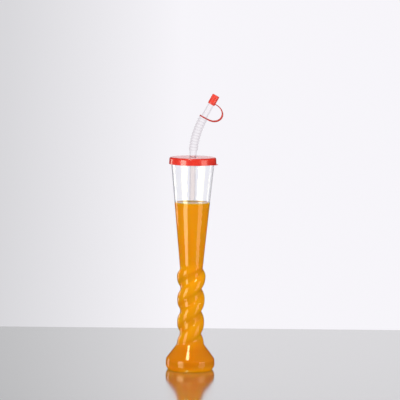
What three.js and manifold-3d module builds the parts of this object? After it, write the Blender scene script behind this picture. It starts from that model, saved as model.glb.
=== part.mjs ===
// A yard cup for slush and cold drinks: a tall clear cup whose stem is twisted from two strands, with a
// push-on lid, a long straw with a ribbed bend, and a tip cap that a strap and a ring tie to the straw.
// Millimetres, +Z up. The origin is the middle of the flat foot, on the table.

import * as THREE from 'three';
import { mergeVertices } from 'three/addons/utils/BufferGeometryUtils.js';
import Module from 'manifold-3d';

// Clearance between pieces that rest on, slide in or fit over one another
const seatGap = 0.3;

// Cup: outside sizes of the base, the stem and the conical head
const cupHeight = 309.7;
const cupWall = 0.9;
const footRadius = 32.2;
const footEdge = 3.5;
const footEdgeHeight = 8;
const beltHeight = 15.8;
const collarRadius = 20.2;
const collarHeight = 36.2;
const neckRadius = 16.8;
const neckHeight = 151;
const rimRadius = 32;
const rimBead = 0.8;
const rimBeadHeight = 3.5;
const rimBeadRound = 1.5;

// Stem: two round strands on opposite sides of a plain core, wound up it to the right. Their crests stand
// farther out at the top than at the bottom.
const coreRadius = 15.6;
const strandRadius = 9.1;
const strandTopCrest = 21.9;
const strandBottomCrest = 19.6;
const strandPitch = 65.6;
const strandMiddle = 103.2;
const strandBottom = 33;
const strandTop = 154;
const strandEnd = 17;

// Drink: how far its surface lies below the rim
const headSpace = 65.5;

// Lid: skirt height is measured down from the lid's top
const lidWall = 0.9;
const lidHeight = 9.5;
const lidFlare = 0.5;
const lidShoulder = 2.8;
const tabRadius = 10;
const tabReach = 4.2;
const tabThickness = 0.9;
const tabAzimuth = -22;

// Straw: lengths along its centre line are measured from the lid's top
const strawRadius = 4.6;
const strawWall = 0.6;
const tubeStub = 0.8;
const bendStart = 9.2;
const bendRadius = 82.5;
const bendAngle = 28.5;
const ribStart = 10;
const ribCount = 11;
const ribPitch = 4.3;
const ribHeight = 1;
const valleyRise = 0.7;
const collarLength = 2.4;
const mouthRadius = 4.3;
const mouthWall = 0.6;

// Tip cap, strap and ring: heights are measured along the mouthpiece from the top of the ribbed bend
const ringWall = 2.05;
const ringThickness = 1.8;
const capWall = 0.65;
const capLength = 14;
const capTop = 1.2;
const capLift = 23.6;
const capRootHeight = 2;
const strapReach = 15.4;
const strapWidth = 2.6;
const strapRootThickness = 1.8;
const strapTipThickness = 1;

// Fineness of the round and twisted surfaces
const cupSides = 40;
const lidSides = 48;
const tubeSides = 16;
const strandStep = 4;
const roundSteps = 4;
const tabSteps = 10;
const strapSteps = 18;

// Finishes
const clearPet = { color: 0xe9eef0, roughness: 0.06, opacity: 0.25, transparent: true };
const clearPp = { color: 0xe6e2e6, roughness: 0.2, opacity: 0.4, transparent: true };
const orangeDrink = { color: 0xe98e05, roughness: 0.1, opacity: 0.95, transparent: true };
const redLdpe = { color: 0xe8382b, roughness: 0.3 };

// Places that follow from the sizes above
const lidUnderside = cupHeight + seatGap;
const lidTop = lidUnderside + lidWall;
const lidBottom = lidTop - lidHeight;
const drinkTop = cupHeight - headSpace;
const strawFoot = cupWall + seatGap;
const strawBore = strawRadius - strawWall;
const valleyRadius = strawRadius + valleyRise;
const ribRadius = valleyRadius + ribHeight;
const bellowsStart = tubeStub + seatGap;
const collarStart = ribStart + ribCount * ribPitch;
const bellowsEnd = collarStart + collarLength;
const mouthBottom = seatGap;
const mouthFit = mouthRadius + seatGap;
const ringRadius = mouthFit + ringWall;
const ringTop = mouthBottom + ringThickness;
const capRadius = mouthFit + capWall;
const capBore = capLift + capLength - capTop;
const mouthTop = capBore - seatGap;
const strapRoot = mouthBottom + 0.5 * ringThickness;
const strapTip = capLift + capRootHeight;

const wasm = await Module();
wasm.setup();

// A closed mesh from rings of points, each ring with as many points as the next. The rings are given so
// that the skin faces out: upwards outside, downwards inside. Each four-sided patch is split along its
// shorter diagonal. With loop, the last ring meets the first; otherwise a fan closes each end.
function skin(rings, loop) {
  const sides = rings[0].length;
  const points = rings.flat();
  const positions = points.flatMap((point) => point.toArray());
  const indices = [];
  const bands = loop ? rings.length : rings.length - 1;
  for (let band = 0; band < bands; band += 1) {
    const low = band * sides;
    const high = ((band + 1) % rings.length) * sides;
    for (let side = 0; side < sides; side += 1) {
      const next = (side + 1) % sides;
      const [a, b, c, d] = [low + side, low + next, high + next, high + side];
      if (points[a].distanceTo(points[c]) < points[b].distanceTo(points[d])) {
        indices.push(a, b, c, a, c, d);
      } else {
        indices.push(a, b, d, b, c, d);
      }
    }
  }
  if (!loop) {
    const last = (rings.length - 1) * sides;
    const firstMiddle = positions.length / 3;
    const lastMiddle = firstMiddle + 1;
    for (const ring of [rings[0], rings[rings.length - 1]]) {
      const middle = ring.reduce((sum, point) => sum.add(point), new THREE.Vector3()).divideScalar(sides);
      positions.push(...middle.toArray());
    }
    for (let side = 0; side < sides; side += 1) {
      const next = (side + 1) % sides;
      indices.push(firstMiddle, next, side);
      indices.push(lastMiddle, last + side, last + next);
    }
  }
  const geometry = new THREE.BufferGeometry();
  geometry.setAttribute('position', new THREE.Float32BufferAttribute(positions, 3));
  geometry.setIndex(indices);
  geometry.computeVertexNormals();
  return geometry;
}

// A turned piece about +Z from [radius, height] points, outside upwards
function turned(profile, sides) {
  const points = profile.map(([radius, height]) => new THREE.Vector2(radius, height));
  return new THREE.LatheGeometry(points, sides).rotateX(Math.PI / 2);
}

// A tube about +Z
function tube(outer, wall, bottom, top, sides) {
  return turned([
    [outer - wall, bottom],
    [outer, bottom],
    [outer, top],
    [outer - wall, top],
    [outer - wall, bottom],
  ], sides);
}

function toSolid(geometry) {
  const bare = geometry.clone();
  bare.deleteAttribute('normal');
  bare.deleteAttribute('uv');
  const merged = mergeVertices(bare);
  const vertProperties = new Float32Array(merged.attributes.position.array);
  const triVerts = new Uint32Array(merged.index.array);
  return new wasm.Manifold(new wasm.Mesh({ numProp: 3, vertProperties, triVerts }));
}

function toGeometry(solid) {
  const mesh = solid.getMesh();
  const geometry = new THREE.BufferGeometry();
  geometry.setAttribute('position', new THREE.Float32BufferAttribute(mesh.vertProperties, 3));
  geometry.setIndex(Array.from(mesh.triVerts));
  geometry.computeVertexNormals();
  return geometry;
}

// Cup: the head's cone, the base and the strands at one height, each drawn in by inset. The strands sink
// into the cone at the top and into the base at the bottom.
function headRadius(z, inset) {
  const slope = (rimRadius - neckRadius) / (cupHeight - neckHeight);
  return neckRadius + slope * (z - neckHeight) - inset;
}

function baseRadius(z, inset) {
  const beltRadius = footRadius + footEdge;
  const slope = (beltRadius - collarRadius) / (collarHeight - beltHeight);
  return beltRadius - slope * Math.max(z - beltHeight, 0) - inset;
}

function strandTurn(z) {
  const height = THREE.MathUtils.clamp(z, strandBottom, strandTop);
  return 2 * Math.PI * (height - strandMiddle) / strandPitch;
}

// A level cut through the strands. It spreads a round strand sideways as far as the strand leans, and
// angle 0 is the crest of one of them.
function strandsRadius(angle, z, inset) {
  const climb = (z - strandBottom) / (strandTop - strandBottom);
  const proud = THREE.MathUtils.lerp(strandBottomCrest, strandTopCrest, climb ** 3);
  const sunk = THREE.MathUtils.smoothstep(z, strandTop - strandEnd, strandTop);
  const crest = THREE.MathUtils.lerp(proud, headRadius(strandTop, 0), sunk);
  const axis = crest - strandRadius;
  const rise = strandPitch / (2 * Math.PI);
  const radius = strandRadius - inset;
  const spread = radius * Math.hypot(rise, axis) / (axis * rise);
  const aside = THREE.MathUtils.euclideanModulo(angle + 0.5 * Math.PI, Math.PI) - 0.5 * Math.PI;
  return axis + radius * Math.sqrt(Math.max(1 - (aside / spread) ** 2, 0));
}

// One ring of the cup. Its points turn with the strands, so a column of them follows each strand.
function cupRing(z, radiusAt) {
  const turn = strandTurn(z);
  return Array.from({ length: cupSides }, (_, side) => {
    const angle = 2 * Math.PI * side / cupSides;
    const radius = radiusAt(angle);
    return new THREE.Vector3(radius * Math.cos(turn + angle), radius * Math.sin(turn + angle), z);
  });
}

function bodyRing(z, inset) {
  const round = Math.max(headRadius(z, inset), coreRadius - inset, baseRadius(z, inset));
  return cupRing(z, (angle) => Math.max(round, strandsRadius(angle, z, inset)));
}

// The cup's skin from the flat of the foot up to the strands' upper ends
function lowerRings(inset) {
  const rings = [];
  for (let step = 0; step <= roundSteps; step += 1) {
    const climb = step / roundSteps;
    const radius = footRadius + footEdge * (1 - (1 - climb) ** 2) - inset;
    rings.push(cupRing(THREE.MathUtils.lerp(inset, footEdgeHeight, climb), () => radius));
  }
  rings.push(cupRing(beltHeight, () => baseRadius(beltHeight, inset)));
  const steps = Math.ceil((strandTop - strandBottom) / strandStep);
  for (let step = 0; step <= steps; step += 1) {
    rings.push(bodyRing(THREE.MathUtils.lerp(strandBottom, strandTop, step / steps), inset));
  }
  return rings;
}

function cupShell() {
  const beadRadius = rimRadius + rimBead;
  const beadBottom = cupHeight - rimBeadHeight;
  const rim = [
    [headRadius(beadBottom, 0), beadBottom],
    [beadRadius, beadBottom],
    [beadRadius, cupHeight - rimBeadRound],
    [beadRadius - rimBeadRound, cupHeight],
    [headRadius(cupHeight, cupWall), cupHeight],
  ].map(([radius, z]) => cupRing(z, () => radius));
  return skin([...lowerRings(0), ...rim, ...lowerRings(cupWall).reverse()], false);
}

// Drink: fills the cup round the straw, just clear of the walls
function drinkBody() {
  const inset = cupWall + seatGap;
  const surface = cupRing(drinkTop, () => headRadius(drinkTop, inset));
  const filling = skin([...lowerRings(inset), surface], false);
  const clearance = strawRadius + seatGap;
  const hole = new THREE.CylinderGeometry(clearance, clearance, 2 * cupHeight, tubeSides);
  hole.rotateX(Math.PI / 2);
  return toGeometry(toSolid(filling).subtract(toSolid(hole)));
}

// Lid: fits over the rim's bead with a like bevel inside, and has a thumb tab on the skirt's lower edge
function lidBody() {
  const hole = strawRadius + seatGap;
  const skirt = rimRadius + rimBead + seatGap;
  const bevel = seatGap * Math.tan(Math.PI / 8);
  const edge = skirt + lidFlare;
  const profile = [
    [hole, lidUnderside],
    [skirt - seatGap - rimBeadRound + bevel, lidUnderside],
    [skirt, cupHeight - rimBeadRound + bevel],
    [edge, lidBottom],
    [edge + lidWall, lidBottom],
  ];
  const shoulderMiddle = [skirt + lidWall - lidShoulder, lidTop - lidShoulder];
  for (let step = 0; step <= roundSteps; step += 1) {
    const turn = 0.5 * Math.PI * step / roundSteps;
    profile.push([
      shoulderMiddle[0] + lidShoulder * Math.cos(turn),
      shoulderMiddle[1] + lidShoulder * Math.sin(turn),
    ]);
  }
  profile.push([hole, lidTop], [hole, lidUnderside]);

  const tabRoot = edge + 0.5 * lidWall;
  const tabMiddle = edge + lidWall + tabReach - tabRadius;
  const rootTurn = Math.acos((tabMiddle ** 2 + tabRoot ** 2 - tabRadius ** 2) / (2 * tabMiddle * tabRoot));
  const tipTurn = Math.atan2(tabRoot * Math.sin(rootTurn), tabRoot * Math.cos(rootTurn) - tabMiddle);
  const outline = new THREE.Shape();
  outline.absarc(tabMiddle, 0, tabRadius, -tipTurn, tipTurn, false);
  outline.absarc(0, 0, tabRoot, rootTurn, -rootTurn, true);
  const thickness = { depth: tabThickness, bevelEnabled: false, curveSegments: tabSteps };
  const tab = new THREE.ExtrudeGeometry(outline, thickness);
  tab.rotateZ(THREE.MathUtils.degToRad(tabAzimuth)).translate(0, 0, lidBottom);
  return toGeometry(toSolid(turned(profile, lidSides)).add(toSolid(tab)));
}

// Straw's centre line in the X-Z plane: up, round an arc towards +X, and straight on
function strawLine(along) {
  const arcEnd = bendStart + bendRadius * THREE.MathUtils.degToRad(bendAngle);
  const tilt = (THREE.MathUtils.clamp(along, bendStart, arcEnd) - bendStart) / bendRadius;
  const straight = Math.max(along - arcEnd, 0);
  return {
    tilt,
    x: bendRadius * (1 - Math.cos(tilt)) + straight * Math.sin(tilt),
    z: lidTop + Math.min(along, bendStart) + bendRadius * Math.sin(tilt) + straight * Math.cos(tilt),
  };
}

function strawRing(along, radius) {
  const { x, z, tilt } = strawLine(along);
  return Array.from({ length: tubeSides }, (_, side) => {
    const angle = 2 * Math.PI * side / tubeSides;
    const out = radius * Math.cos(angle);
    return new THREE.Vector3(x + out * Math.cos(tilt), radius * Math.sin(angle), z - out * Math.sin(tilt));
  });
}

// Ribbed bend: a peak and a valley for each rib outside, a plain bore inside, a wide collar on top
function bellows() {
  const outside = [[bellowsStart, strawRadius], [ribStart, valleyRadius]];
  const bore = [[bellowsStart, strawBore], [ribStart, strawBore]];
  for (let rib = 0; rib < ribCount; rib += 1) {
    const peak = ribStart + (rib + 0.5) * ribPitch;
    const valley = ribStart + (rib + 1) * ribPitch;
    outside.push([peak, ribRadius], [valley, valleyRadius]);
    if (rib % 2 === 1) bore.push([valley, strawBore]);
  }
  outside.push([collarStart, ribRadius], [bellowsEnd, ribRadius]);
  bore.push([bellowsEnd, strawBore]);
  return skin([...outside, ...bore.reverse()].map(([along, radius]) => strawRing(along, radius)), true);
}

// Strap: leaves the ring square, swings round half an ellipse and meets the cap square. Its path lies in
// the X-Z plane of the mouthpiece, and it thins towards the cap.
function strap() {
  const half = 0.5 * (strapTip - strapRoot);
  const quarter = 0.5 * Math.PI;
  const rootX = ringRadius + seatGap;
  const loop = new THREE.EllipseCurve(rootX, strapRoot + half, strapReach, half, -quarter, quarter);
  const path = loop.getSpacedPoints(strapSteps);
  path.push(new THREE.Vector2(capRadius + seatGap, strapTip));
  const last = path.length - 1;
  const rings = path.map((point, index) => {
    const ahead = new THREE.Vector2(index === 0 ? 1 : -1, 0);
    if (index > 0 && index < last - 1) ahead.subVectors(path[index + 1], path[index - 1]).normalize();
    const thick = 0.5 * THREE.MathUtils.lerp(strapRootThickness, strapTipThickness, index / last);
    const wide = 0.5 * strapWidth;
    const corner = 0.5 * thick;
    const section = [
      [thick, -wide + corner], [thick, wide - corner], [thick - corner, wide], [corner - thick, wide],
      [-thick, wide - corner], [-thick, -wide + corner], [corner - thick, -wide], [thick - corner, -wide],
    ];
    return section.map(([side, across]) => new THREE.Vector3(
      point.x + side * ahead.y,
      across,
      point.y - side * ahead.x,
    ));
  });
  return skin(rings, false);
}

function tipCap() {
  return turned([
    [0, capBore],
    [mouthFit, capBore],
    [mouthFit, capLift],
    [capRadius, capLift],
    [capRadius, capLift + capLength],
    [0, capLift + capLength],
  ], tubeSides);
}

function piece(name, geometry, finish) {
  const mesh = new THREE.Mesh(geometry, new THREE.MeshStandardMaterial({ ...finish, metalness: 0 }));
  mesh.name = name;
  return mesh;
}

const strawTube = tube(strawRadius, strawWall, strawFoot, lidTop + tubeStub, tubeSides);
const mouthpiece = tube(mouthRadius, mouthWall, mouthBottom, mouthTop, tubeSides);
const ring = tube(ringRadius, ringWall, mouthBottom, ringTop, tubeSides);

// Everything above the ribbed bend leans with its upper end
const upperEnd = strawLine(bellowsEnd);
const leaning = new THREE.Group();
leaning.position.set(upperEnd.x, 0, upperEnd.z);
leaning.rotation.y = upperEnd.tilt;
leaning.add(
  piece('straw_mouthpiece', mouthpiece, clearPp),
  piece('tether_ring', ring, redLdpe),
  piece('cap_tether', strap(), redLdpe),
  piece('tip_cap', tipCap(), redLdpe),
);

const yardCup = new THREE.Group();
yardCup.add(
  piece('cup_shell', cupShell(), clearPet),
  piece('drink', drinkBody(), orangeDrink),
  piece('lid', lidBody(), redLdpe),
  piece('straw_tube', strawTube, clearPp),
  piece('straw_bellows', bellows(), clearPp),
  leaning,
);

export default yardCup;
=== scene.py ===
# The looks of a yard cup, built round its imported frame. Blender works in metres; the sizes here are
# millimetres and become metres in each mesh. +Z is up and the origin is the middle of the flat foot.
import math

import bpy
import numpy as np
from mathutils import Matrix, Quaternion, Vector


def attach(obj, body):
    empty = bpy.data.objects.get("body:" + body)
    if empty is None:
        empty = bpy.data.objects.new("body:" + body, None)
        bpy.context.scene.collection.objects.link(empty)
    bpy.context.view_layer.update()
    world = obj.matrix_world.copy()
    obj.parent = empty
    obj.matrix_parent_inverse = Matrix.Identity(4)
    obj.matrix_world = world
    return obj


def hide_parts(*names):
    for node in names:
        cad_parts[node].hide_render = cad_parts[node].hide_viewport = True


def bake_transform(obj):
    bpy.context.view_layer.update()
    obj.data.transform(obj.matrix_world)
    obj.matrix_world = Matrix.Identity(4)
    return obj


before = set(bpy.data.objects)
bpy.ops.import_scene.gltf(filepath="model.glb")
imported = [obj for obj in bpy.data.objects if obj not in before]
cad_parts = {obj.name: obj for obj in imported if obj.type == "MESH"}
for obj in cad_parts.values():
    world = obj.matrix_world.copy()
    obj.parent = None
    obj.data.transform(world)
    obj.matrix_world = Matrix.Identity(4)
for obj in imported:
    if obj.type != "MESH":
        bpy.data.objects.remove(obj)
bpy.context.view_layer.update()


# Cup. Blown in one piece of clear PET about 0.9 mm thick: a bell base on a flat foot, a stem with two
# strands wound up its core, and a conical head with a rolled rim that holds the lid.
MM = 0.001
TURN = 2.0 * math.pi
CUP_HEIGHT = 309.7
CUP_WALL = 0.9
CUP_SIDES = 128
FOOT_RADIUS = 32.2
FOOT_FLAT = 31.4
FOOT_ROUND = 0.9
FOOT_EDGE = 3.5
FOOT_EDGE_HEIGHT = 8.0
BELT_HEIGHT = 15.8
BELT_ROUND = 1.4
COLLAR_RADIUS = 20.2
COLLAR_HEIGHT = 36.2
COLLAR_ROUND = 2.0
NECK_RADIUS = 16.8
NECK_HEIGHT = 151.0
RIM_RADIUS = 32.0
RIM_BEAD = 32.8
RIM_START = 304.8
RIM_INSIDE = 308.7
CORE_RADIUS = 15.6
CORE_ROUND = 0.6
STRAND_RADIUS = 9.1
STRAND_CREST_TOP = 21.9
STRAND_CREST_BOTTOM = 19.6
STRAND_PITCH = 65.6
STRAND_MIDDLE = 103.2
STRAND_BOTTOM = 33.0
STRAND_TOP = 160.0
STRAND_END = 23.0
STRAND_ROUND = 0.4
STRAND_FILLET = 4.0
STRAND_SINK = 1.0
FILLET_END = 12.0
PET_TINT = (0.97, 0.975, 0.98, 1.0)
# Painted edge shade for the PET: the wall's colour darkens to this where it is seen edge on.
PET_PAINTED_EDGE_SHADE = (0.66, 0.66, 0.67, 1.0)
PET_SLOPES = (0.55, 0.9)
PET_EDGE_HEIGHTS = (14.0, 26.0)
PET_GLOSS = (1.0, 0.97, 0.5, 1.0)
PET_IOR = 1.46
PET_ROUGH = (0.015, 0.05)


def mix(a, b, share):
    return a + (b - a) * share


def soft_max(a, b, round_off):
    """The larger of two sizes, rounded off where they cross."""
    return 0.5 * (a + b + np.sqrt((a - b) ** 2 + round_off**2))


def eased(value, low, high):
    """0 below low, 1 above high and a smooth rise between them."""
    t = np.clip((value - low) / (high - low), 0.0, 1.0)
    return t * t * (3.0 - 2.0 * t)


def head_radius(z):
    return mix(NECK_RADIUS, RIM_RADIUS, (z - NECK_HEIGHT) / (CUP_HEIGHT - NECK_HEIGHT))


def base_radius(z):
    belt = FOOT_RADIUS + FOOT_EDGE
    side = belt - FOOT_EDGE * max(0.0, 1.0 - z / FOOT_EDGE_HEIGHT) ** 2
    bell = mix(belt, COLLAR_RADIUS, (z - BELT_HEIGHT) / (COLLAR_HEIGHT - BELT_HEIGHT))
    return -soft_max(-side, -bell, BELT_ROUND)


def strands_radius(aside, z):
    """A level cut through the two strands, at an angle aside from the crest of the nearer one."""
    climb = (z - STRAND_BOTTOM) / (STRAND_TOP - STRAND_BOTTOM)
    crest = mix(STRAND_CREST_BOTTOM, STRAND_CREST_TOP, climb**3)
    sunk = head_radius(STRAND_TOP) - STRAND_SINK
    crest = mix(crest, sunk, eased(z, STRAND_TOP - STRAND_END, STRAND_TOP))
    axis = crest - STRAND_RADIUS
    rise = STRAND_PITCH / TURN
    spread = STRAND_RADIUS * math.hypot(rise, axis) / (axis * rise)
    return axis + STRAND_RADIUS * np.sqrt(np.clip(1.0 - (aside / spread) ** 2, 0.0, 1.0))


def strand_turn(z):
    return TURN * (min(max(z, STRAND_BOTTOM), STRAND_TOP) - STRAND_MIDDLE) / STRAND_PITCH


def circle(radius, z, turn=0.0, sides=CUP_SIDES):
    """A ring of points about +Z. The radius is one number, or one for each point."""
    angle = np.arange(sides) * TURN / sides + turn
    return np.stack([radius * np.cos(angle), radius * np.sin(angle), np.full(sides, z)], axis=1)


def cup_ring(z, inset=0.0):
    """The cup's skin at z. The points turn with the strands, so that each column of them follows one.
    A strand meets the core sharply on its upper side and in a wide fillet on its lower side."""
    angle = np.arange(CUP_SIDES) * TURN / CUP_SIDES
    core = soft_max(head_radius(z), CORE_RADIUS, CORE_ROUND)
    radius = np.full(CUP_SIDES, soft_max(core, base_radius(z), COLLAR_ROUND))
    if STRAND_BOTTOM <= z <= STRAND_TOP:
        aside = (angle + 0.25 * TURN) % (0.5 * TURN) - 0.25 * TURN
        filled = eased(aside, -0.2, 0.9) - eased(aside, 1.0, 0.25 * TURN)
        filled = filled * eased(z, STRAND_BOTTOM, STRAND_BOTTOM + FILLET_END)
        filled = filled * eased(-z, -STRAND_TOP, FILLET_END - STRAND_TOP)
        fillet = mix(STRAND_ROUND, STRAND_FILLET, filled)
        radius = soft_max(radius, strands_radius(aside, z), fillet)
    return circle(radius - inset, z, strand_turn(z))


def cup_rings(low, high, inset=0.0):
    """Rings of the skin from low to high, closer together where the shape is busy."""
    heights = np.concatenate([
        np.arange(FOOT_ROUND, 13.0, 1.1),
        np.arange(13.0, 19.0, 0.5),
        np.arange(19.0, STRAND_BOTTOM, 1.4),
        np.arange(STRAND_BOTTOM, STRAND_TOP, 1.25),
        np.arange(STRAND_TOP, CUP_HEIGHT, 7.0),
    ])
    inner = heights[(heights > low + 0.3) & (heights < high - 0.3)]
    return [cup_ring(z, inset) for z in [low, *inner, high]]


def lofted(name, rings, loop=False):
    """A closed mesh through rings that each have as many points as the next, outside upwards."""
    sides = len(rings[0])
    count = len(rings)
    side = np.arange(sides)
    following = (side + 1) % sides
    faces = []
    for band in range(count if loop else count - 1):
        low = band * sides
        high = (band + 1) % count * sides
        patch = np.stack([low + side, low + following, high + following, high + side], axis=1)
        faces.extend(patch.tolist())
    smooth = [True] * len(faces)
    if not loop:
        faces.append(list(range(sides))[::-1])
        faces.append(list(range((count - 1) * sides, count * sides)))
        smooth += [False, False]
    mesh = bpy.data.meshes.new(name)
    mesh.from_pydata((np.concatenate(rings) * MM).tolist(), [], faces)
    mesh.polygons.foreach_set("use_smooth", smooth)
    mesh.update()
    piece = bpy.data.objects.new(name, mesh)
    bpy.context.scene.collection.objects.link(piece)
    return piece


def mottle_group():
    """Soft patches and a fine grain on the piece's own coordinates, for any moulded finish."""
    group = bpy.data.node_groups.new("MouldedMottle", "ShaderNodeTree")
    for name, value in (("Patch Scale", 60.0), ("Grain Scale", 1500.0)):
        socket = group.interface.new_socket(name, in_out="INPUT", socket_type="NodeSocketFloat")
        socket.default_value = value
    for name in ("Patches", "Grain"):
        group.interface.new_socket(name, in_out="OUTPUT", socket_type="NodeSocketFloat")
    enter = group.nodes.new("NodeGroupInput")
    leave = group.nodes.new("NodeGroupOutput")
    place = group.nodes.new("ShaderNodeTexCoord")
    for scale, result, detail in (("Patch Scale", "Patches", 2.0), ("Grain Scale", "Grain", 3.0)):
        noise = group.nodes.new("ShaderNodeTexNoise")
        noise.inputs["Detail"].default_value = detail
        group.links.new(place.outputs["Object"], noise.inputs["Vector"])
        group.links.new(enter.outputs[scale], noise.inputs["Scale"])
        group.links.new(noise.outputs["Fac"], leave.inputs[result])
    return group


mottle = mottle_group()


def finish(name, patch_scale, grain_scale):
    """A new material with a Principled shader and the mottle group beside it."""
    material = bpy.data.materials.new(name)
    material.use_nodes = True
    nodes = material.node_tree.nodes
    marks = nodes.new("ShaderNodeGroup")
    marks.node_tree = mottle
    marks.inputs["Patch Scale"].default_value = patch_scale
    marks.inputs["Grain Scale"].default_value = grain_scale
    return material, nodes["Principled BSDF"], marks


def spread(material, source, low, high):
    """A 0 to 1 value spread between low and high."""
    node = material.node_tree.nodes.new("ShaderNodeMapRange")
    node.inputs["From Min"].default_value = 0.3
    node.inputs["From Max"].default_value = 0.7
    node.inputs["To Min"].default_value = low
    node.inputs["To Max"].default_value = high
    material.node_tree.links.new(source, node.inputs["Value"])
    return node.outputs["Result"]


def with_painted_edge_shade(material, shader, tint, edge_shade, slopes, heights):
    """A clear wall's colour with painted edge shade, deeper where the wall is seen edge on, from some
    height up.
    """
    nodes = material.node_tree.nodes
    links = material.node_tree.links
    slope = nodes.new("ShaderNodeLayerWeight")
    steep = nodes.new("ShaderNodeMapRange")
    steep.inputs["From Min"].default_value = slopes[0]
    steep.inputs["From Max"].default_value = slopes[1]
    links.new(slope.outputs["Facing"], steep.inputs["Value"])
    place = nodes.new("ShaderNodeTexCoord")
    axes = nodes.new("ShaderNodeSeparateXYZ")
    links.new(place.outputs["Object"], axes.inputs["Vector"])
    lifted = nodes.new("ShaderNodeMapRange")
    lifted.inputs["From Min"].default_value = heights[0] * MM
    lifted.inputs["From Max"].default_value = heights[1] * MM
    links.new(axes.outputs["Z"], lifted.inputs["Value"])
    edge = nodes.new("ShaderNodeMath")
    edge.operation = "MULTIPLY"
    links.new(steep.outputs["Result"], edge.inputs[0])
    links.new(lifted.outputs["Result"], edge.inputs[1])
    wall = nodes.new("ShaderNodeMix")
    wall.data_type = "RGBA"
    wall.inputs["A"].default_value = tint
    wall.inputs["B"].default_value = edge_shade
    links.new(edge.outputs["Value"], wall.inputs["Factor"])
    links.new(wall.outputs["Result"], shader.inputs["Base Color"])


def bumped(material, shader, height, strength, distance):
    """Relief on the shader's normal; distance is the relief's height in millimetres."""
    node = material.node_tree.nodes.new("ShaderNodeBump")
    node.inputs["Strength"].default_value = strength
    node.inputs["Distance"].default_value = distance * MM
    material.node_tree.links.new(height, node.inputs["Height"])
    material.node_tree.links.new(node.outputs["Normal"], shader.inputs["Normal"])


cup_outside = []
for climb in np.radians([0.0, 30.0, 60.0]):
    radius = mix(FOOT_FLAT, base_radius(FOOT_ROUND), math.sin(climb))
    cup_outside.append(circle(radius, FOOT_ROUND * (1.0 - math.cos(climb)), strand_turn(0.0)))
cup_outside += cup_rings(FOOT_ROUND, RIM_START)
rim_profile = [
    (RIM_BEAD - 0.9, 305.6), (RIM_BEAD - 0.25, 306.1), (RIM_BEAD, 306.9), (RIM_BEAD, 308.1),
    (RIM_BEAD - 0.3, 309.0), (RIM_BEAD - 0.9, 309.55), (RIM_BEAD - 1.4, 309.7), (31.15, 309.45),
]
rim = [circle(radius, z, strand_turn(z)) for radius, z in rim_profile]
cup_inside = cup_rings(CUP_WALL + 0.8, RIM_INSIDE, CUP_WALL)
cup_inside.insert(0, circle(FOOT_FLAT - CUP_WALL, CUP_WALL, strand_turn(0.0)))
cup = lofted("cup", cup_outside + rim + cup_inside[::-1])

clear_pet, pet, marks = finish("clear_pet", 45.0, 900.0)
# Painted edge shade on the PET: darker where the wall is seen edge on, fading in above the belt.
with_painted_edge_shade(clear_pet, pet, PET_TINT, PET_PAINTED_EDGE_SHADE, PET_SLOPES, PET_EDGE_HEIGHTS)
pet.inputs["Specular Tint"].default_value = PET_GLOSS
pet.inputs["Transmission Weight"].default_value = 1.0
pet.inputs["IOR"].default_value = PET_IOR
links = clear_pet.node_tree.links
links.new(spread(clear_pet, marks.outputs["Grain"], *PET_ROUGH), pet.inputs["Roughness"])
bumped(clear_pet, pet, marks.outputs["Patches"], 0.08, 0.4)
cup.data.materials.append(clear_pet)
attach(cup, "cup")
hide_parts("cup_shell")


# Drink. A clear orange drink that wets the cup's inside and fills it round the straw, with a meniscus
# that climbs the wall and the straw. It takes nearly all the blue out of what passes through it. Its
# tone is lighter on the stem, partly for the thinner drink there and partly as painted light against
# the shade of the strands. At its foot a lighter tone and a faint painted glow stand in for the light
# that it carries down.
DRINK_TOP = 244.2
DRINK_WETTING = 0.25
MENISCUS_RISE = 1.1
MENISCUS_REACH = 1.6
DRINK_ABSORB = 116.0
DRINK_PASS = (0.985, 0.82, 0.0, 1.0)
DRINK_IOR = 1.34
DRINK_CLEAR = 0.08
DRINK_HAZE = 10.0
DRINK_ROUGH = (0.0, 0.02)
DRINK_LEVEL = (0.75, 0.9)
DRINK_GLOSS = (0.1, 0.5)
DRINK_COLOUR = (0.86, 0.395, 0.002, 1.0)
# Lighter stem tone: partly the thinner drink, partly painted light against the shade of the strands.
DRINK_THIN_AND_PAINTED_LIGHT = (1.0, 0.455, 0.002, 1.0)
DRINK_DEEP = (0.80, 0.31, 0.0015, 1.0)
# Painted light: the foot's lighter tone, also the colour of its painted glow.
DRINK_FOOT_PAINTED_LIGHT = (1.0, 0.41, 0.002, 1.0)
DRINK_PAINTED_GLOW = 0.27
DRINK_PAINTED_GLOW_HEIGHT = 8.0
DRINK_TONES = [
    (1.0, DRINK_FOOT_PAINTED_LIGHT), (10.0, DRINK_DEEP), (30.0, DRINK_DEEP),
    (46.0, DRINK_THIN_AND_PAINTED_LIGHT), (138.0, DRINK_THIN_AND_PAINTED_LIGHT), (160.0, DRINK_COLOUR),
]
STRAW_RADIUS = 4.6

drink_inset = CUP_WALL - DRINK_WETTING
wall_radius = head_radius(DRINK_TOP) - drink_inset
drink_rings = cup_rings(CUP_WALL + 0.6, DRINK_TOP + MENISCUS_RISE, drink_inset)
drink_rings.insert(0, circle(FOOT_FLAT - CUP_WALL, CUP_WALL - DRINK_WETTING, strand_turn(0.0)))
for radius in [*(wall_radius - np.geomspace(0.25, 9.0, 12)), 12.0, 8.0, 6.6, 5.8, 5.3, 4.9, 4.6, 4.3]:
    rise = math.exp(-(wall_radius - radius) / MENISCUS_REACH)
    rise += 0.6 * math.exp(-abs(radius - STRAW_RADIUS) / MENISCUS_REACH)
    drink_rings.append(circle(radius, DRINK_TOP + MENISCUS_RISE * rise, strand_turn(DRINK_TOP)))
drink = lofted("drink_fill", drink_rings)

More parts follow.
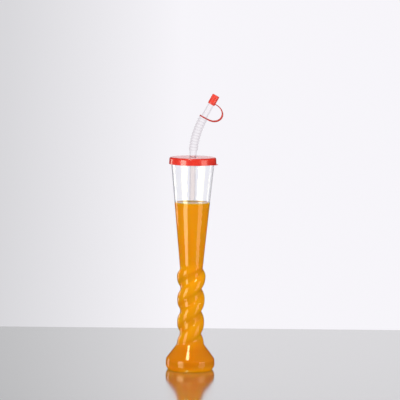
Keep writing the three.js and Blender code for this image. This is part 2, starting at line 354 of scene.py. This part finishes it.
orange_drink, liquid, marks = finish("orange_drink", 30.0, 400.0)
liquid.inputs["Transmission Weight"].default_value = DRINK_CLEAR
liquid.inputs["Subsurface Weight"].default_value = 1.0
liquid.inputs["Subsurface Radius"].default_value = (1.0, 0.5, 0.05)
liquid.inputs["Subsurface Scale"].default_value = DRINK_HAZE * MM
liquid.inputs["IOR"].default_value = DRINK_IOR
links = orange_drink.node_tree.links
drink_nodes = orange_drink.node_tree.nodes
drink_place = drink_nodes.new("ShaderNodeTexCoord")
drink_axes = drink_nodes.new("ShaderNodeSeparateXYZ")
links.new(drink_place.outputs["Object"], drink_axes.inputs["Vector"])
drink_depth = drink_nodes.new("ShaderNodeMapRange")
drink_depth.inputs["From Max"].default_value = DRINK_TOP * MM
links.new(drink_axes.outputs["Z"], drink_depth.inputs["Value"])
drink_tone = drink_nodes.new("ShaderNodeValToRGB")
tones = drink_tone.color_ramp.elements
tones.remove(tones[1])
tones[0].position = DRINK_TONES[0][0] / DRINK_TOP
tones[0].color = DRINK_TONES[0][1]
for height, colour in DRINK_TONES[1:]:
    tones.new(height / DRINK_TOP).color = colour
links.new(drink_depth.outputs["Result"], drink_tone.inputs["Fac"])
links.new(drink_tone.outputs["Color"], liquid.inputs["Base Color"])
# Painted glow: a faint emission at the drink's foot that fades out a few millimetres up.
drink_painted_glow = drink_nodes.new("ShaderNodeMapRange")
drink_painted_glow.inputs["From Min"].default_value = DRINK_PAINTED_GLOW_HEIGHT * MM
drink_painted_glow.inputs["From Max"].default_value = 0.0
drink_painted_glow.inputs["To Max"].default_value = DRINK_PAINTED_GLOW
links.new(drink_axes.outputs["Z"], drink_painted_glow.inputs["Value"])
links.new(drink_painted_glow.outputs["Result"], liquid.inputs["Emission Strength"])
liquid.inputs["Emission Color"].default_value = DRINK_FOOT_PAINTED_LIGHT
drink_skin = drink_nodes.new("ShaderNodeNewGeometry")
drink_upward = drink_nodes.new("ShaderNodeSeparateXYZ")
links.new(drink_skin.outputs["Normal"], drink_upward.inputs["Vector"])
drink_gloss = drink_nodes.new("ShaderNodeMapRange")
drink_gloss.inputs["From Min"].default_value = DRINK_LEVEL[0]
drink_gloss.inputs["From Max"].default_value = DRINK_LEVEL[1]
drink_gloss.inputs["To Min"].default_value = DRINK_GLOSS[0]
drink_gloss.inputs["To Max"].default_value = DRINK_GLOSS[1]
links.new(drink_upward.outputs["Z"], drink_gloss.inputs["Value"])
links.new(drink_gloss.outputs["Result"], liquid.inputs["Specular IOR Level"])
links.new(spread(orange_drink, marks.outputs["Patches"], *DRINK_ROUGH), liquid.inputs["Roughness"])
absorb = drink_nodes.new("ShaderNodeVolumeAbsorption")
absorb.inputs["Color"].default_value = DRINK_PASS
absorb.inputs["Density"].default_value = DRINK_ABSORB
links.new(absorb.outputs["Volume"], drink_nodes["Material Output"].inputs["Volume"])
drink.data.materials.append(orange_drink)
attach(drink, "cup")
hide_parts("drink")


# Lid. Moulded from soft red LDPE: a flat top with a hole for the straw, a round shoulder, a skirt that
# pushes over the rim's bead, and a thin thumb tab on the skirt's lower edge.
LID_TOP = 310.9
LID_BOTTOM = 300.8
LID_WALL = 0.9
LID_SHOULDER = 2.8
LID_SKIRT = 33.1
LID_FLARE = 0.5
LID_HOLE = 4.9
LID_SIDES = 128
TAB_RADIUS = 10.0
TAB_REACH = 4.2
TAB_THICKNESS = 0.9
TAB_AZIMUTH = -22.0
RED = (0.68, 0.034, 0.019, 1.0)
RED_DEEP = (0.57, 0.021, 0.013, 1.0)
RED_ROUGH = (0.22, 0.36)
LID_COAT = (0.7, 0.1)


def round_corner(middle, radius, start, end, steps):
    """Points of an arc in a profile of (radius, height), with the angles in degrees."""
    turns = np.radians(np.linspace(start, end, steps))
    return [(middle[0] + radius * math.cos(t), middle[1] + radius * math.sin(t)) for t in turns]


lid_edge = LID_SKIRT + LID_FLARE
lid_profile = [(LID_HOLE, LID_TOP - LID_WALL), (20.0, LID_TOP - LID_WALL)]
lid_profile += round_corner((LID_SKIRT - 1.7, LID_TOP - LID_WALL - 1.7), 1.7, 90.0, 0.0, 5)
lid_profile += [(LID_SKIRT + 0.2, LID_BOTTOM + 3.0)]
lid_profile += round_corner((lid_edge + 0.45, LID_BOTTOM + 0.45), 0.45, 180.0, 360.0, 7)
lid_profile += [(LID_SKIRT + LID_WALL + 0.2, LID_BOTTOM + 3.6)]
shoulder = (LID_SKIRT + LID_WALL - LID_SHOULDER, LID_TOP - LID_SHOULDER)
lid_profile += round_corner(shoulder, LID_SHOULDER, 0.0, 90.0, 9)
lid_profile += [(20.0, LID_TOP), (8.0, LID_TOP)]
lid_profile += round_corner((LID_HOLE + 0.3, LID_TOP - 0.3), 0.3, 90.0, 180.0, 3)
lid = lofted("lid_cover", [circle(r, z, sides=LID_SIDES) for r, z in lid_profile], loop=True)

tab_middle = lid_edge + LID_WALL + TAB_REACH - TAB_RADIUS
tab_root = lid_edge + 0.3
tab_turn = math.acos(
    (tab_middle**2 + tab_root**2 - TAB_RADIUS**2) / (2.0 * tab_middle * tab_root)
)
tab_spread = math.atan2(tab_root * math.sin(tab_turn), tab_root * math.cos(tab_turn) - tab_middle)
tab_outline = [
    (tab_middle + TAB_RADIUS * math.cos(t), TAB_RADIUS * math.sin(t))
    for t in np.linspace(-tab_spread, tab_spread, 24)
]
tab_outline += [
    (tab_root * math.cos(t), tab_root * math.sin(t)) for t in np.linspace(tab_turn, -tab_turn, 12)[1:-1]
]
tab_outline = np.array(tab_outline) @ np.array(Matrix.Rotation(math.radians(TAB_AZIMUTH), 2)).T
tab_centre = tab_outline.mean(axis=0)
tab_rings = []
for shrink, rise in ((0.6, 0.0), (0.15, 0.12), (0.0, 0.45), (0.15, 0.78), (0.6, 0.9)):
    inward = tab_centre - tab_outline
    drawn = tab_outline + inward / np.linalg.norm(inward, axis=1)[:, None] * shrink * 0.5
    height = np.full((len(drawn), 1), LID_BOTTOM + TAB_THICKNESS * rise / 0.9)
    tab_rings.append(np.hstack([drawn, height]))
tab = lofted("lid_tab", tab_rings)


def red_finish(name, patch_scale, deep, bright, coat):
    """Red LDPE: a half gloss with a fine grain, a faint mottle and shallow dents. The coat is the weight
    and roughness of its waxy skin."""
    material, shader, marks = finish(name, patch_scale, 1400.0)
    nodes = material.node_tree.nodes
    links = material.node_tree.links
    tone = nodes.new("ShaderNodeMix")
    tone.data_type = "RGBA"
    tone.inputs["A"].default_value = deep
    tone.inputs["B"].default_value = bright
    links.new(spread(material, marks.outputs["Patches"], 0.2, 1.0), tone.inputs["Factor"])
    links.new(tone.outputs["Result"], shader.inputs["Base Color"])
    links.new(spread(material, marks.outputs["Grain"], *RED_ROUGH), shader.inputs["Roughness"])
    shader.inputs["IOR"].default_value = 1.5
    shader.inputs["Coat Weight"].default_value = coat[0]
    shader.inputs["Coat Roughness"].default_value = coat[1]
    shader.inputs["Subsurface Weight"].default_value = 0.25
    shader.inputs["Subsurface Radius"].default_value = (1.0, 0.25, 0.15)
    shader.inputs["Subsurface Scale"].default_value = 1.2 * MM
    bumped(material, shader, marks.outputs["Patches"], 0.1, 0.1)
    return material


red_ldpe = red_finish("red_ldpe", 70.0, RED_DEEP, RED, LID_COAT)
for piece in (lid, tab):
    piece.data.materials.append(red_ldpe)
    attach(piece, "lid")
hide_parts("lid")


# Straw's plain tube. Extruded from clear, faintly milky PP; it stands on the cup's floor and reaches up
# to the lid's hole, where the ribbed bend carries it on. Its thin wall hardly bends the light.
STRAW_WALL = 0.6
STRAW_FOOT = 1.2
TUBE_TOP = LID_TOP - 5.0
TUBE_SIDES = 48
PP_TINT = (0.99, 0.98, 0.982, 1.0)
# Painted edge shade for the PP: the straw's colour darkens to this where its wall is seen edge on.
PP_PAINTED_EDGE_SHADE = (0.86, 0.84, 0.85, 1.0)
# Painted shade: a darker copy of the PP's colour with a pink cast, for the tube standing inside the cup.
PP_PAINTED_SHADE_TINT = (0.99, 0.942, 0.91, 1.0)
PP_SLOPES = (0.05, 0.5)
PP_EDGE_HEIGHTS = (-2.0, -1.0)
PP_IOR = 1.03
PP_ROUGH = (0.0, 0.01)

straw_bore = STRAW_RADIUS - STRAW_WALL
tube_heights = np.linspace(STRAW_FOOT, TUBE_TOP, 24)
tube_rings = [circle(STRAW_RADIUS, z, sides=TUBE_SIDES) for z in tube_heights]
tube_rings += [circle(straw_bore, z, sides=TUBE_SIDES) for z in tube_heights[::-1]]
straw_tube = lofted("straw_lower", tube_rings, loop=True)


def straw_finish(name, tint):
    """Clear PP whose thin wall hardly bends the light and shows mostly by its painted edge shade, all the
    way up.
    """
    material, shader, marks = finish(name, 120.0, 700.0)
    shader.inputs["Transmission Weight"].default_value = 1.0
    shader.inputs["IOR"].default_value = PP_IOR
    with_painted_edge_shade(material, shader, tint, PP_PAINTED_EDGE_SHADE, PP_SLOPES, PP_EDGE_HEIGHTS)
    rough = spread(material, marks.outputs["Patches"], *PP_ROUGH)
    material.node_tree.links.new(rough, shader.inputs["Roughness"])
    return material


clear_pp = straw_finish("clear_pp", PP_TINT)
shaded_pp = straw_finish("clear_pp_painted_shade", PP_PAINTED_SHADE_TINT)
straw_tube.data.materials.append(shaded_pp)
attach(straw_tube, "straw")
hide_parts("straw_tube")


# Straw's ribbed bend. The same tube blown out into ribs, so that it bends and stays bent, with a plain
# collar at its upper end that stops the cap's ring.
BEND_START = 0.0
BEND_RADIUS = 118.7
BEND_ANGLE = math.radians(28.5)
BELLOWS_START = TUBE_TOP - LID_TOP + 0.05
BELLOWS_FLARE = [(0.6, 0.4), (2.0, 0.7), (8.0, 0.9)]
RIB_START = 10.0
RIB_COUNT = 11
RIB_PITCH = 4.3
RIB_RADIUS = 6.75
GROOVE_DEPTH = 1.1
GROOVE_SHARE = 0.15
COLLAR_LENGTH = 2.07
RIB_STEPS = 14

ribs_end = RIB_START + RIB_COUNT * RIB_PITCH
bellows_end = ribs_end + COLLAR_LENGTH


def straw_line(along):
    """Place and tilt of the straw's centre line at a length above the lid's top."""
    arc_end = BEND_START + BEND_RADIUS * BEND_ANGLE
    tilt = (min(max(along, BEND_START), arc_end) - BEND_START) / BEND_RADIUS
    straight = max(along - arc_end, 0.0)
    x = BEND_RADIUS * (1.0 - math.cos(tilt)) + straight * math.sin(tilt)
    z = LID_TOP + min(along, BEND_START) + BEND_RADIUS * math.sin(tilt) + straight * math.cos(tilt)
    return x, z, tilt


def straw_ring(along, radius):
    x, z, tilt = straw_line(along)
    flat = circle(radius, 0.0, sides=TUBE_SIDES)
    return np.stack([x + flat[:, 0] * math.cos(tilt), flat[:, 1], z - flat[:, 0] * math.sin(tilt)], axis=1)


bellows_profile = [(BELLOWS_START, STRAW_RADIUS), (0.0, STRAW_RADIUS)]
bellows_profile += [(along, STRAW_RADIUS + wider) for along, wider in BELLOWS_FLARE]
for step in range(RIB_COUNT * RIB_STEPS + 1):
    share = step / RIB_STEPS
    from_groove = share - round(share)
    groove = GROOVE_DEPTH * math.exp(-((from_groove / GROOVE_SHARE) ** 2))
    bellows_profile.append((RIB_START + share * RIB_PITCH, RIB_RADIUS - groove))
bellows_profile += [(ribs_end + 0.5, RIB_RADIUS - 0.3), (ribs_end + 0.9, RIB_RADIUS)]
bellows_profile += [(bellows_end - 0.4, RIB_RADIUS), (bellows_end, RIB_RADIUS - 0.4)]
bellows_rings = [straw_ring(along, radius) for along, radius in bellows_profile]
bellows_rings += [straw_ring(along, radius - STRAW_WALL) for along, radius in bellows_profile[::-1]]
bellows = lofted("straw_bend", bellows_rings, loop=True)
bellows.data.materials.append(clear_pp)
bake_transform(bellows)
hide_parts("straw_bellows")


# Straw's mouthpiece. The plain end above the ribbed bend, drawn a little narrower, with a fire-polished
# lip that the tip cap closes.
MOUTH_RADIUS = 4.5
MOUTH_WALL = 0.6
MOUTH_BOTTOM = 0.3
CAP_LIFT = 22.7
CAP_LENGTH = 14.9
CAP_TOP = 1.2

mouth_top = CAP_LIFT + CAP_LENGTH - CAP_TOP - 0.3
upper_x, upper_z, upper_tilt = straw_line(bellows_end)


def leaning(rings):
    """Rings about the mouthpiece's own axis, set on the upper end of the ribbed bend."""
    turned = np.array(Matrix.Rotation(upper_tilt, 3, "Y"))
    return [points @ turned.T + np.array([upper_x, 0.0, upper_z]) for points in rings]


mouth_profile = [(MOUTH_RADIUS, z) for z in np.linspace(MOUTH_BOTTOM, mouth_top - 0.3, 10)]
mouth_profile += [(MOUTH_RADIUS - 0.1, mouth_top - 0.08), (MOUTH_RADIUS - 0.3, mouth_top)]
mouth_profile += [(MOUTH_RADIUS - 0.5, mouth_top - 0.08)]
mouth_profile += [(MOUTH_RADIUS - MOUTH_WALL, z) for z in np.linspace(mouth_top - 0.3, MOUTH_BOTTOM, 10)]
mouth_rings = [circle(radius, z, sides=TUBE_SIDES) for radius, z in mouth_profile]
mouthpiece = lofted("straw_mouth", leaning(mouth_rings), loop=True)
mouthpiece.data.materials.append(clear_pp)
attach(mouthpiece, "mouthpiece")
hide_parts("straw_mouthpiece")


# Tip cap with its strap and ring. One moulding of red LDPE: the ring slips over the mouthpiece and rests
# on the bend's collar, and a soft strap loops up to the cap that pushes over the lip.
RING_RADIUS = 6.85
RING_BORE = 4.6
RING_THICKNESS = 1.8
CAP_RADIUS = 5.45
CAP_BORE = 4.6
CAP_ROUND = 0.7
STRAP_ROOT = 1.2
STRAP_TIP = 25.6
STRAP_REACH = 15.4
STRAP_WIDTH = 2.6
STRAP_STEPS = 60
STRAP_SHARES = [0.0, 0.3, 0.55, 0.8, 1.0]
STRAP_THICKNESS = [2.1, 2.7, 2.8, 1.5, 1.2]
CAP_COAT = (0.3, 0.35)
CAP_RED = (0.74, 0.062, 0.042, 1.0)
CAP_RED_DEEP = (0.60, 0.042, 0.030, 1.0)
# Painted shade: the strap and ring wear a darker copy of the cap's red, though all three are one moulding.
STRAP_RED_PAINTED_SHADE = (0.46, 0.034, 0.026, 1.0)
STRAP_RED_DEEP_PAINTED_SHADE = (0.36, 0.022, 0.018, 1.0)

ring_low = MOUTH_BOTTOM
ring_high = MOUTH_BOTTOM + RING_THICKNESS
ring_profile = round_corner((RING_BORE + 0.4, ring_low + 0.4), 0.4, 180.0, 270.0, 4)
ring_profile += round_corner((RING_RADIUS - 0.7, ring_low + 0.7), 0.7, 270.0, 360.0, 5)
ring_profile += round_corner((RING_RADIUS - 0.7, ring_high - 0.7), 0.7, 0.0, 90.0, 5)
ring_profile += round_corner((RING_BORE + 0.4, ring_high - 0.4), 0.4, 90.0, 180.0, 4)
tether_ring = lofted(
    "tether_loop", leaning([circle(r, z, sides=TUBE_SIDES) for r, z in ring_profile]), loop=True
)

cap_end = CAP_LIFT + CAP_LENGTH
cap_profile = [(0.4, cap_end - CAP_TOP), (CAP_BORE - 0.3, cap_end - CAP_TOP)]
cap_profile += [(CAP_BORE, cap_end - CAP_TOP - 0.3), (CAP_BORE, CAP_LIFT + 0.3)]
cap_profile += round_corner((CAP_BORE + 0.32, CAP_LIFT + 0.32), 0.32, 180.0, 360.0, 7)
cap_profile += [(CAP_RADIUS, z) for z in np.linspace(CAP_LIFT + 2.0, cap_end - 2.0, 4)]
cap_profile += round_corner((CAP_RADIUS - CAP_ROUND, cap_end - CAP_ROUND), CAP_ROUND, 0.0, 90.0, 6)
cap_profile += [(0.4, cap_end)]
tip_cap = lofted("cap_tip", leaning([circle(r, z, sides=TUBE_SIDES) for r, z in cap_profile]))

strap_half = 0.5 * (STRAP_TIP - STRAP_ROOT)
strap_x = RING_RADIUS - 0.6
strap_path = [(strap_x, STRAP_ROOT)]
for swing in np.linspace(-0.5 * math.pi, 0.5 * math.pi, STRAP_STEPS):
    strap_path.append((
        RING_RADIUS + 0.3 + STRAP_REACH * math.cos(swing),
        STRAP_ROOT + strap_half * (1.0 + math.sin(swing)),
    ))
strap_path.append((CAP_RADIUS - 0.5, STRAP_TIP))
strap_path = np.array(strap_path)
strap_rings = []
for index, middle in enumerate(strap_path):
    ahead = strap_path[min(index + 1, len(strap_path) - 1)] - strap_path[max(index - 1, 0)]
    ahead = ahead / np.linalg.norm(ahead)
    share = index / (len(strap_path) - 1)
    thick = 0.5 * np.interp(share, STRAP_SHARES, STRAP_THICKNESS)
    wide = 0.5 * STRAP_WIDTH
    corner = 0.8 * thick
    section = []
    for across, deep, start in ((1, 1, 0), (-1, 1, 90), (-1, -1, 180), (1, -1, 270)):
        section += round_corner(
            (across * (wide - corner), deep * (thick - corner)), corner, start, start + 90, 4
        )
    strap_rings.append(np.array([
        (middle[0] - deep * ahead[1], across, middle[1] + deep * ahead[0]) for across, deep in section
    ]))
strap = lofted("cap_strap", leaning(strap_rings))

cap_red = red_finish("red_ldpe_cap", 160.0, CAP_RED_DEEP, CAP_RED, CAP_COAT)
strap_red_painted_shade = red_finish("red_ldpe_strap_painted_shade", 160.0, STRAP_RED_DEEP_PAINTED_SHADE, STRAP_RED_PAINTED_SHADE, CAP_COAT)
for piece, red in ((tether_ring, strap_red_painted_shade), (tip_cap, cap_red), (strap, strap_red_painted_shade)):
    piece.data.materials.append(red)
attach(tether_ring, "ring")
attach(tip_cap, "cap")
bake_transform(strap)
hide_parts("tether_ring")
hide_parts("tip_cap")
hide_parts("cap_tether")


# Table. A pale, polished table top that mirrors what stands on it at a low angle from the front. The
# cup's own gloss shows all of it as a mirror, so no grey veil lies on the drink.
TABLE_FRONT = -380.0
TABLE_BACK = 400.0
TABLE_SIDE = 420.0
TABLE_TURN = math.radians(1.8)
TABLE_COLOUR = (0.70, 0.72, 0.82, 1.0)
TABLE_ROUGH = 0.5
TABLE_MIRROR = (0.795, 0.80, 0.79, 1.0)
TABLE_GRAZING = (0.74, 0.81)
TABLE_MIRRORED = 0.97
TABLE_BLUR = 0.13
TABLE_FRONTAL = (-0.94, -0.975)

table_mesh = bpy.data.meshes.new("table")
table_mesh.from_pydata(
    [
        (-TABLE_SIDE * MM, TABLE_FRONT * MM, 0.0), (TABLE_SIDE * MM, TABLE_FRONT * MM, 0.0),
        (TABLE_SIDE * MM, TABLE_BACK * MM, 0.0), (-TABLE_SIDE * MM, TABLE_BACK * MM, 0.0),
    ],
    [],
    [(0, 1, 2, 3)],
)
table = bpy.data.objects.new("table", table_mesh)
table.rotation_euler.z = TABLE_TURN
bpy.context.scene.collection.objects.link(table)
table_top = bpy.data.materials.new("table_top")
table_top.use_nodes = True
top_nodes = table_top.node_tree.nodes
top_links = table_top.node_tree.links
top = top_nodes["Principled BSDF"]
top.inputs["Base Color"].default_value = TABLE_COLOUR
top.inputs["Roughness"].default_value = TABLE_ROUGH
mirror = top_nodes.new("ShaderNodeBsdfGlossy")
mirror.inputs["Color"].default_value = TABLE_MIRROR
mirror.inputs["Roughness"].default_value = TABLE_BLUR
slant = top_nodes.new("ShaderNodeLayerWeight")
grazing = top_nodes.new("ShaderNodeMapRange")
grazing.interpolation_type = "SMOOTHSTEP"
grazing.inputs["From Min"].default_value = TABLE_GRAZING[0]
grazing.inputs["From Max"].default_value = TABLE_GRAZING[1]
grazing.inputs["To Max"].default_value = TABLE_MIRRORED
top_links.new(slant.outputs["Facing"], grazing.inputs["Value"])
seen_from = top_nodes.new("ShaderNodeNewGeometry")
seen_axes = top_nodes.new("ShaderNodeSeparateXYZ")
top_links.new(seen_from.outputs["Incoming"], seen_axes.inputs["Vector"])
frontal = top_nodes.new("ShaderNodeMapRange")
frontal.inputs["From Min"].default_value = TABLE_FRONTAL[0]
frontal.inputs["From Max"].default_value = TABLE_FRONTAL[1]
top_links.new(seen_axes.outputs["Y"], frontal.inputs["Value"])
mirrored = top_nodes.new("ShaderNodeMath")
mirrored.operation = "MULTIPLY"
top_links.new(grazing.outputs["Result"], mirrored.inputs[0])
top_links.new(frontal.outputs["Result"], mirrored.inputs[1])
top_path = top_nodes.new("ShaderNodeLightPath")
reflected = top_nodes.new("ShaderNodeMath")
reflected.operation = "GREATER_THAN"
top_links.new(top_path.outputs["Is Glossy Ray"], reflected.inputs[0])
top_links.new(top_path.outputs["Is Transmission Ray"], reflected.inputs[1])
mirror_share = top_nodes.new("ShaderNodeMix")
top_links.new(top_path.outputs["Is Camera Ray"], mirror_share.inputs["Factor"])
top_links.new(reflected.outputs["Value"], mirror_share.inputs["A"])
top_links.new(mirrored.outputs["Value"], mirror_share.inputs["B"])
polished = top_nodes.new("ShaderNodeMixShader")
top_links.new(mirror_share.outputs["Result"], polished.inputs["Fac"])
top_links.new(top.outputs["BSDF"], polished.inputs[1])
top_links.new(mirror.outputs["BSDF"], polished.inputs[2])
top_links.new(polished.outputs["Shader"], top_nodes["Material Output"].inputs["Surface"])
table.data.materials.append(table_top)


# Backdrop. Lit white paper all round the table, a little darker on the left in the front view. The
# pieces' gloss mirrors only a narrow strip of it ahead, beside a dark room that draws their edges.
BACKDROP = (0.93, 0.915, 0.955, 1.0)
BACKDROP_LEFT = (0.69, 0.685, 0.71, 1.0)
BACKDROP_FADES = (-0.079, -0.008)
BACKDROP_AHEAD = (0.96, 0.9)
ROOM = (0.04, 0.04, 0.04, 1.0)
AMBIENT = (0.35, 0.35, 0.36, 1.0)
BACKDROP_AZIMUTH = math.radians(4.0)
BACKDROP_EDGE = math.cos(math.radians(44.0))
BACKDROP_FULL = math.cos(math.radians(24.0))
BACKDROP_NARROW = (0.24, 0.09)
BACKDROP_BRIGHT = 0.18
BACKDROP_TOP = 0.3
world = bpy.data.worlds.new("backdrop")
bpy.context.scene.world = world
world.use_nodes = True
world.cycles.sampling_method = "NONE"
world_nodes = world.node_tree.nodes
world_links = world.node_tree.links
direction = world_nodes.new("ShaderNodeTexCoord")
towards = world_nodes.new("ShaderNodeVectorMath")
towards.operation = "DOT_PRODUCT"
towards.inputs[1].default_value = (math.sin(BACKDROP_AZIMUTH), math.cos(BACKDROP_AZIMUTH), 0.0)
behind = world_nodes.new("ShaderNodeMapRange")
behind.interpolation_type = "SMOOTHSTEP"
behind.inputs["From Min"].default_value = BACKDROP_EDGE
behind.inputs["From Max"].default_value = BACKDROP_FULL
heading = world_nodes.new("ShaderNodeSeparateXYZ")
under_top = world_nodes.new("ShaderNodeMapRange")
under_top.interpolation_type = "SMOOTHSTEP"
under_top.inputs["From Min"].default_value = BACKDROP_TOP
under_top.inputs["From Max"].default_value = BACKDROP_BRIGHT
reached = world_nodes.new("ShaderNodeMath")
reached.operation = "MULTIPLY"
surround = world_nodes.new("ShaderNodeMix")
surround.data_type = "RGBA"
surround.inputs["A"].default_value = ROOM
backdrop = world_nodes.new("ShaderNodeMix")
backdrop.data_type = "RGBA"
backdrop.inputs["A"].default_value = BACKDROP_LEFT
backdrop.inputs["B"].default_value = BACKDROP
fading = world_nodes.new("ShaderNodeMapRange")
fading.inputs["From Min"].default_value = BACKDROP_FADES[0]
fading.inputs["From Max"].default_value = BACKDROP_FADES[1]
world_links.new(heading.outputs["X"], fading.inputs["Value"])
turned = world_nodes.new("ShaderNodeMapRange")
turned.inputs["From Min"].default_value = BACKDROP_AHEAD[0]
turned.inputs["From Max"].default_value = BACKDROP_AHEAD[1]
world_links.new(heading.outputs["Y"], turned.inputs["Value"])
evened = world_nodes.new("ShaderNodeMath")
evened.operation = "MAXIMUM"
world_links.new(fading.outputs["Result"], evened.inputs[0])
world_links.new(turned.outputs["Result"], evened.inputs[1])
world_links.new(evened.outputs["Value"], backdrop.inputs["Factor"])
world_links.new(backdrop.outputs["Result"], surround.inputs["B"])
world_links.new(direction.outputs["Generated"], towards.inputs[0])
world_links.new(towards.outputs["Value"], behind.inputs["Value"])
world_links.new(direction.outputs["Generated"], heading.inputs["Vector"])
world_links.new(heading.outputs["Z"], under_top.inputs["Value"])
sideways = world_nodes.new("ShaderNodeMath")
sideways.operation = "ABSOLUTE"
world_links.new(heading.outputs["X"], sideways.inputs[0])
narrowed = world_nodes.new("ShaderNodeMapRange")
narrowed.interpolation_type = "SMOOTHSTEP"
narrowed.inputs["From Min"].default_value = BACKDROP_NARROW[0]
narrowed.inputs["From Max"].default_value = BACKDROP_NARROW[1]
world_links.new(sideways.outputs["Value"], narrowed.inputs["Value"])
ahead_only = world_nodes.new("ShaderNodeMath")
ahead_only.operation = "MULTIPLY"
world_links.new(behind.outputs["Result"], ahead_only.inputs[0])
world_links.new(narrowed.outputs["Result"], ahead_only.inputs[1])
world_links.new(ahead_only.outputs["Value"], reached.inputs[0])
world_links.new(under_top.outputs["Result"], reached.inputs[1])
world_links.new(reached.outputs["Value"], surround.inputs["Factor"])
path = world_nodes.new("ShaderNodeLightPath")


def lit(colour):
    """A background shader of one colour, or of a colour from other nodes."""
    shader = world_nodes.new("ShaderNodeBackground")
    if isinstance(colour, tuple):
        shader.inputs["Color"].default_value = colour
    else:
        world_links.new(colour, shader.inputs["Color"])
    return shader.outputs["Background"]


def chosen(ray, plain, seen):
    """One background for the named kind of ray, and the other for the rest."""
    node = world_nodes.new("ShaderNodeMixShader")
    world_links.new(path.outputs[ray], node.inputs["Fac"])
    world_links.new(plain, node.inputs[1])
    world_links.new(seen, node.inputs[2])
    return node.outputs["Shader"]


shown = chosen("Is Glossy Ray", lit(AMBIENT), lit(surround.outputs["Result"]))
shown = chosen("Is Transmission Ray", shown, lit(BACKDROP))
shown = chosen("Is Camera Ray", shown, lit(backdrop.outputs["Result"]))
world_links.new(shown, world_nodes["World Output"].inputs["Surface"])


# Lamps. Two tall soft boxes in front, left and right, one behind on the left and a small one overhead.
# Wide fills at the right and at the back light the pieces without showing in their gloss.
LAMP_COLOUR = (1.0, 0.96, 0.82)


def soft_box(name, azimuth, distance, middle, width, height, power, shows=True, through=True):
    """A soft box that faces the cup; azimuth 0 is the camera's side and positive is to the right."""
    lamp = bpy.data.lights.new(name, "AREA")
    lamp.shape = "RECTANGLE"
    lamp.size = width
    lamp.size_y = height
    lamp.energy = power
    lamp.color = LAMP_COLOUR
    box = bpy.data.objects.new(name, lamp)
    turn = math.radians(azimuth)
    box.location = (distance * math.sin(turn), -distance * math.cos(turn), middle)
    aim = Vector((0.0, 0.0, min(middle, 0.3))) - box.location
    box.rotation_mode = "QUATERNION"
    box.rotation_quaternion = aim.to_track_quat("-Z", "Y")
    box.visible_camera = False
    box.visible_glossy = shows
    box.visible_transmission = through
    bpy.context.scene.collection.objects.link(box)
    return box


soft_box("box_left", azimuth=-46.5, distance=1.6, middle=0.05, width=0.82, height=1.3, power=21.4)
soft_box("box_right", azimuth=57.5, distance=1.6, middle=0.05, width=0.9, height=1.3, power=10.5)
soft_box("box_rim", azimuth=-125.5, distance=1.6, middle=0.2, width=0.3, height=0.6, power=2.0)
soft_box("box_fill", azimuth=48.0, distance=1.6, middle=1.1, width=1.4, height=1.4, power=12.8,
         shows=False)
soft_box("box_back", azimuth=180.0, distance=1.5, middle=1.4, width=1.2, height=1.2, power=22.0,
         shows=False, through=False)
soft_box("box_top", azimuth=-20.5, distance=0.75, middle=1.6, width=0.36, height=0.4, power=9.0)


# Camera. A long lens 3.6 m in front of the cup and a little above it, aimed just over the drink's
# surface and rolled slightly. It stands still, and nothing rides on it.
EYE = Vector((0.0112, -3.58, 0.6))
AIM = Vector((0.0112, 0.0, 0.2485))
VIEW_ANGLE = math.radians(9.235)
ROLL = math.radians(0.8)
camera_data = bpy.data.cameras.new("camera")
camera_data.sensor_width = 36.0
camera_data.lens = 0.5 * camera_data.sensor_width / math.tan(0.5 * VIEW_ANGLE)
camera_data.clip_end = 50.0
camera = bpy.data.objects.new("camera", camera_data)
camera.location = EYE
camera.rotation_mode = "QUATERNION"
camera.rotation_quaternion = (AIM - EYE).to_track_quat("-Z", "Y") @ Quaternion((0.0, 0.0, 1.0), ROLL)
bpy.context.scene.collection.objects.link(camera)
scene = bpy.context.scene
scene.camera = camera
scene.view_settings.view_transform = "Standard"
scene.cycles.use_denoising = True
scene.cycles.max_bounces = 24
scene.cycles.transmission_bounces = 24
